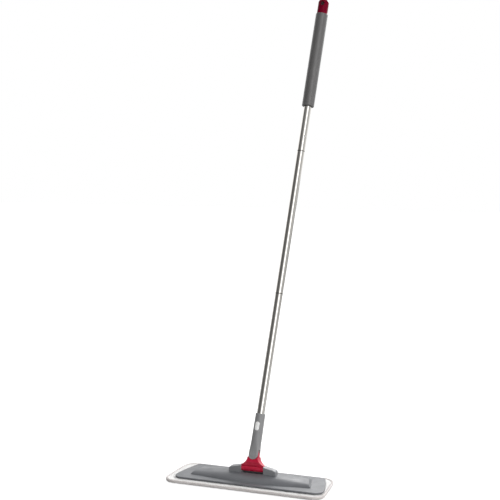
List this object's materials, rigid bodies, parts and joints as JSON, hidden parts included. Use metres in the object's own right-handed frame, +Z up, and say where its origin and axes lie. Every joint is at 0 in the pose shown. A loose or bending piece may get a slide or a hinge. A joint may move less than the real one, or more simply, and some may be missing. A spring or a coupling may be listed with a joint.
{
  "type": "flat mop",
  "caption": "Flat floor mop: wide microfibre pad on a ridged plate, two-axis swivel joint and a steel pole with push-button joints, grip and hanging cap.",
  "frame": {"origin": "on the floor, on the pad's underside, under the middle of the barrel hinge", "axes": "+X along the head to the right, -Y the front, with the longer edge and the release button, +Z up; the pole leans back 15 degrees about the barrel hinge and 4 degrees to the right about the yoke pin"},
  "size_m": [0.4262, 0.4161, 1.2576],
  "materials": {
    "pile": "matte",
    "foam": "matte",
    "loop": "matte",
    "binding": "matte",
    "grey_plastic": "satin",
    "hook_tape": "matte",
    "red_plastic": "gloss",
    "pole_steel": "polished",
    "screw_steel": "satin",
    "spring_steel": "satin",
    "inner_plastic": "matte",
    "grip_plastic": "satin",
    "white_plastic": "satin"
  },
  "bodies": {
    "pad": {"pad_pile": "pile", "pad_core": "foam", "pad_backing": "loop", "pad_binding": "binding"},
    "head": {"head_plate": "grey_plastic", "hinge_bracket": "grey_plastic", "bracket_screws": "screw_steel", "barrel_pin": "screw_steel", "pin_keepers": "grey_plastic", "hook_strip_front": "hook_tape", "hook_strip_rear": "hook_tape", "hook_strip_left": "hook_tape", "hook_strip_right": "hook_tape"},
    "yoke": {"yoke": "red_plastic"},
    "handle": {"socket": "grey_plastic", "yoke_pin": "screw_steel", "pin_plug": "grey_plastic", "lower_tube": "pole_steel", "middle_tube": "pole_steel", "upper_tube": "pole_steel", "lower_connector": "inner_plastic", "upper_connector": "inner_plastic", "release_spring": "spring_steel", "lower_snap_spring": "spring_steel", "upper_snap_spring": "spring_steel", "grip_sleeve": "grip_plastic", "grip_collar_bottom": "inner_plastic", "grip_collar_top": "inner_plastic", "hang_cap": "red_plastic"},
    "release_button": {"release_button": "white_plastic"},
    "lower_snap_button": {"lower_snap_button": "screw_steel"},
    "upper_snap_button": {"upper_snap_button": "screw_steel"}
  },
  "joints": [
    {"name": "head_lift", "type": "slide", "parent": "pad", "child": "head", "axis": [0, 0, 1], "range_m": [0, 0.05]},
    {"name": "barrel_hinge", "type": "hinge", "parent": "head", "child": "yoke", "pos_m": [0, 0, 0.0383], "axis": [1, 0, 0], "range_deg": [-65, 95]},
    {"name": "yoke_pin_hinge", "type": "hinge", "parent": "yoke", "child": "handle", "pos_m": [0, 0.00906, 0.07211], "axis": [0, 0.9659, -0.2588], "range_deg": [-63, 55]},
    {"name": "release_press", "type": "slide", "parent": "handle", "child": "release_button", "axis": [0, 0.9659, -0.2588], "range_m": [0, 0.004], "stiffness_N_per_m": 1200, "springref_m": -0.002, "deforming": ["release_spring"]},
    {"name": "lower_snap_press", "type": "slide", "parent": "handle", "child": "lower_snap_button", "axis": [0, -0.9659, 0.2588], "range_m": [0, 0.0021], "stiffness_N_per_m": 1200, "springref_m": -0.002, "deforming": ["lower_snap_spring"]},
    {"name": "upper_snap_press", "type": "slide", "parent": "handle", "child": "upper_snap_button", "axis": [-0.693, 0.7074, -0.1394], "range_m": [0, 0.0021], "stiffness_N_per_m": 1200, "springref_m": -0.002, "deforming": ["upper_snap_spring"]}
  ]
}
